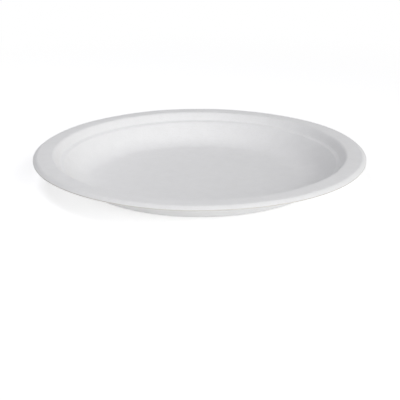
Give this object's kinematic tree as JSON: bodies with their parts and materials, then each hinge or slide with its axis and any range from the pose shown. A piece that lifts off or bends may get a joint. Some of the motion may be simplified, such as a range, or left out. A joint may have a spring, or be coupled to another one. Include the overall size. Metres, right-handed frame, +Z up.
{
  "type": "bagasse plate",
  "caption": "Round disposable plate pressed from white sugar-cane pulp: flat floor, sloped wall with a stacking step, flat rim and turned-down lip. Holds food.",
  "frame": {"origin": "centre of the flat underside that the plate stands on", "axes": "+Z up along the plate's axis of revolution, food side up; X and Y are alike"},
  "size_m": [0.23, 0.23, 0.0205],
  "materials": {
    "pulp": "matte, smooth hot-pressed pulp on the food side, faint screen texture underneath"
  },
  "bodies": {
    "root": {"plate": "pulp"}
  },
  "joints": []
}
